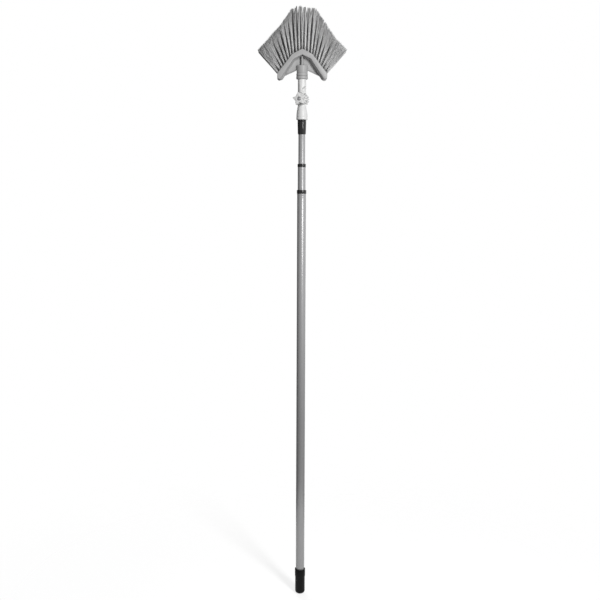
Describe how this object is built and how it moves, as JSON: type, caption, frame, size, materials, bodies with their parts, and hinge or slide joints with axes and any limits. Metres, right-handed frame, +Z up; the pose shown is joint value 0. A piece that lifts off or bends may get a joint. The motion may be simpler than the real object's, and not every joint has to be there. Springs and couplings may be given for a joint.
{
  "type": "telescopic triangular broom",
  "caption": "Telescopic broom: twist-lock aluminium pole, toothed tilting joint with a star knob, and a roof-shaped head of fanned bristles.",
  "frame": {"origin": "centre of the end cap's flat foot, on the pole's centre line", "axes": "+Z up the pole to the head, -Y the head's front, +X the viewer's right"},
  "size_m": [0.246, 0.0616, 1.6926],
  "materials": {
    "black_plastic": "fine moulded",
    "white_plastic": "satin moulded",
    "grey_plastic": "satin moulded",
    "bristle": "extruded filament",
    "aluminium": "drawn, satin",
    "steel": "zinc plated",
    "lock_plastic": "moulded"
  },
  "bodies": {
    "pole_outer": {"outer_tube": "aluminium", "end_cap": "black_plastic", "lower_collar": "black_plastic"},
    "lower_lock": {"lower_lock_sleeve": "lock_plastic"},
    "lower_cone": {"lower_lock_cone": "lock_plastic"},
    "pole_middle": {"middle_tube": "aluminium", "upper_collar": "black_plastic", "lower_lock_plug": "lock_plastic"},
    "upper_lock": {"upper_lock_sleeve": "lock_plastic"},
    "upper_cone": {"upper_lock_cone": "lock_plastic"},
    "pole_inner": {"inner_tube": "aluminium", "upper_lock_plug": "lock_plastic", "ferrule": "black_plastic", "lower_arm": "white_plastic"},
    "head": {"upper_arm": "white_plastic", "joint_bolt": "steel", "head_block": "grey_plastic", "bristles_right_front": "bristle", "bristles_right_back": "bristle", "bristles_left_front": "bristle", "bristles_left_back": "bristle"},
    "washer": {"joint_washer": "steel"},
    "knob": {"clamp_knob": "white_plastic", "knob_nut": "steel"}
  },
  "joints": [
    {"name": "lower_extend", "type": "slide", "parent": "pole_outer", "child": "lower_lock", "axis": [0, 0, 1], "range_m": [0, 0.8]},
    {"name": "lower_cone_travel", "type": "slide", "parent": "lower_lock", "child": "lower_cone", "axis": [0, 0, 1], "range_m": [0, 0.0015]},
    {"name": "lower_twist", "type": "hinge", "parent": "lower_lock", "child": "pole_middle", "pos_m": [0, 0, 0.0413], "axis": [0, 0, 1], "range_deg": [0, 180]},
    {"name": "upper_extend", "type": "slide", "parent": "pole_middle", "child": "upper_lock", "axis": [0, 0, 1], "range_m": [0, 0.8]},
    {"name": "upper_cone_travel", "type": "slide", "parent": "upper_lock", "child": "upper_cone", "axis": [0, 0, 1], "range_m": [0, 0.0015]},
    {"name": "upper_twist", "type": "hinge", "parent": "upper_lock", "child": "pole_inner", "pos_m": [0, 0, 0.0963], "axis": [0, 0, 1], "range_deg": [0, 180]},
    {"name": "head_tilt", "type": "hinge", "parent": "pole_inner", "child": "head", "pos_m": [0, 0, 1.4453], "axis": [-0.342, -0.9397, 0], "range_deg": [-90, 90]},
    {"name": "knob_travel", "type": "slide", "parent": "head", "child": "washer", "axis": [-0.342, -0.9397, 0], "range_m": [0, 0.002]},
    {"name": "knob_turn", "type": "hinge", "parent": "washer", "child": "knob", "pos_m": [0, 0, 1.4453], "axis": [-0.342, -0.9397, 0], "range_deg": [0, 720]}
  ],
  "couplings": [
    {"joint": "lower_twist", "follows": "lower_cone_travel", "rad_per_m": 2094.4},
    {"joint": "upper_twist", "follows": "upper_cone_travel", "rad_per_m": 2094.4},
    {"joint": "knob_turn", "follows": "knob_travel", "rad_per_m": 6283.2}
  ]
}
